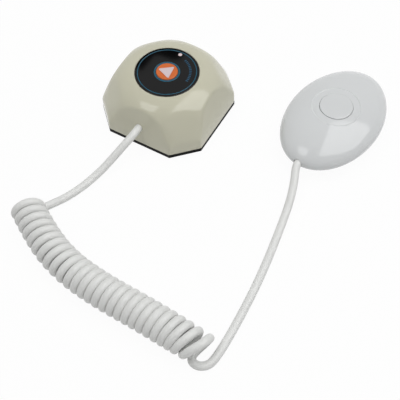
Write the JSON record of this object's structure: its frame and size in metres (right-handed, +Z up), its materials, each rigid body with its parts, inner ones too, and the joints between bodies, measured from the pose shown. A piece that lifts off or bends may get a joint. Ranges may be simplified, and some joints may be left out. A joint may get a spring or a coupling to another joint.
{
  "type": "nurse call button",
  "caption": "Table call unit: eight-sided domed base with a press key in a black disc, joined by a curly cord to an egg-shaped hand pendant with a round button.",
  "frame": {"origin": "centre of the base unit's underside, on the surface that it stands on", "axes": "+Z up, -Y the way the cord leaves the base unit, +X towards the hand pendant's side"},
  "size_m": [0.1426, 0.1937, 0.0282],
  "materials": {
    "shell_ivory": "satin moulded ivory plastic",
    "plate_black": "fine textured black plastic",
    "disc_black": "polished black plastic",
    "ring_blue": "translucent blue plastic",
    "key_orange": "satin orange plastic",
    "inlay_white": "pale translucent plastic",
    "pendant_white": "smooth white plastic",
    "cord_white": "smooth white cord jacket",
    "circuit_green": "solder mask over glass fibre laminate",
    "component_black": "moulded black component cases",
    "screw_steel": "zinc plated steel",
    "cell_steel": "drawn stainless steel"
  },
  "bodies": {
    "call_unit": {"base_shell": "shell_ivory", "base_plate": "plate_black", "plate_screws": "screw_steel", "face_disc": "disc_black", "rim_light_ring": "ring_blue", "key_surround": "ring_blue", "status_lens": "inlay_white", "call_switch_body": "component_black", "face_board": "circuit_green", "face_board_screws": "screw_steel", "face_leds": "inlay_white", "main_board": "circuit_green", "main_board_screws": "screw_steel", "board_link": "component_black", "battery_holder": "component_black", "battery_cell": "cell_steel", "battery_clip": "cell_steel", "radio_module": "cell_steel", "sounder": "component_black", "cord_plug": "component_black", "cord_clamp_base": "plate_black", "cord_clamp_bar": "plate_black", "cord_clamp_screws": "screw_steel", "cord_base_lead": "cord_white", "cord_curl": "cord_white", "cord_pendant_lead": "cord_white", "pendant_top_shell": "pendant_white", "pendant_bottom_shell": "pendant_white", "pendant_screws": "screw_steel", "pendant_board": "circuit_green", "pendant_switch_body": "component_black", "pendant_cord_clamp": "cord_white", "pendant_tail_wires": "cord_white"},
    "call_key_body": {"call_key": "key_orange", "key_icon": "inlay_white", "call_switch_plunger": "component_black"},
    "pendant_button_body": {"pendant_button": "pendant_white", "pendant_switch_plunger": "component_black"}
  },
  "joints": [
    {"name": "call_key_press", "type": "slide", "parent": "call_unit", "child": "call_key_body", "axis": [0, 0, -1], "range_m": [0, 0.0006], "stiffness_N_per_m": 1200, "springref_m": -0.0006},
    {"name": "pendant_button_press", "type": "slide", "parent": "call_unit", "child": "pendant_button_body", "axis": [0, 0, -1], "range_m": [0, 0.0008], "stiffness_N_per_m": 1200, "springref_m": -0.0006}
  ]
}
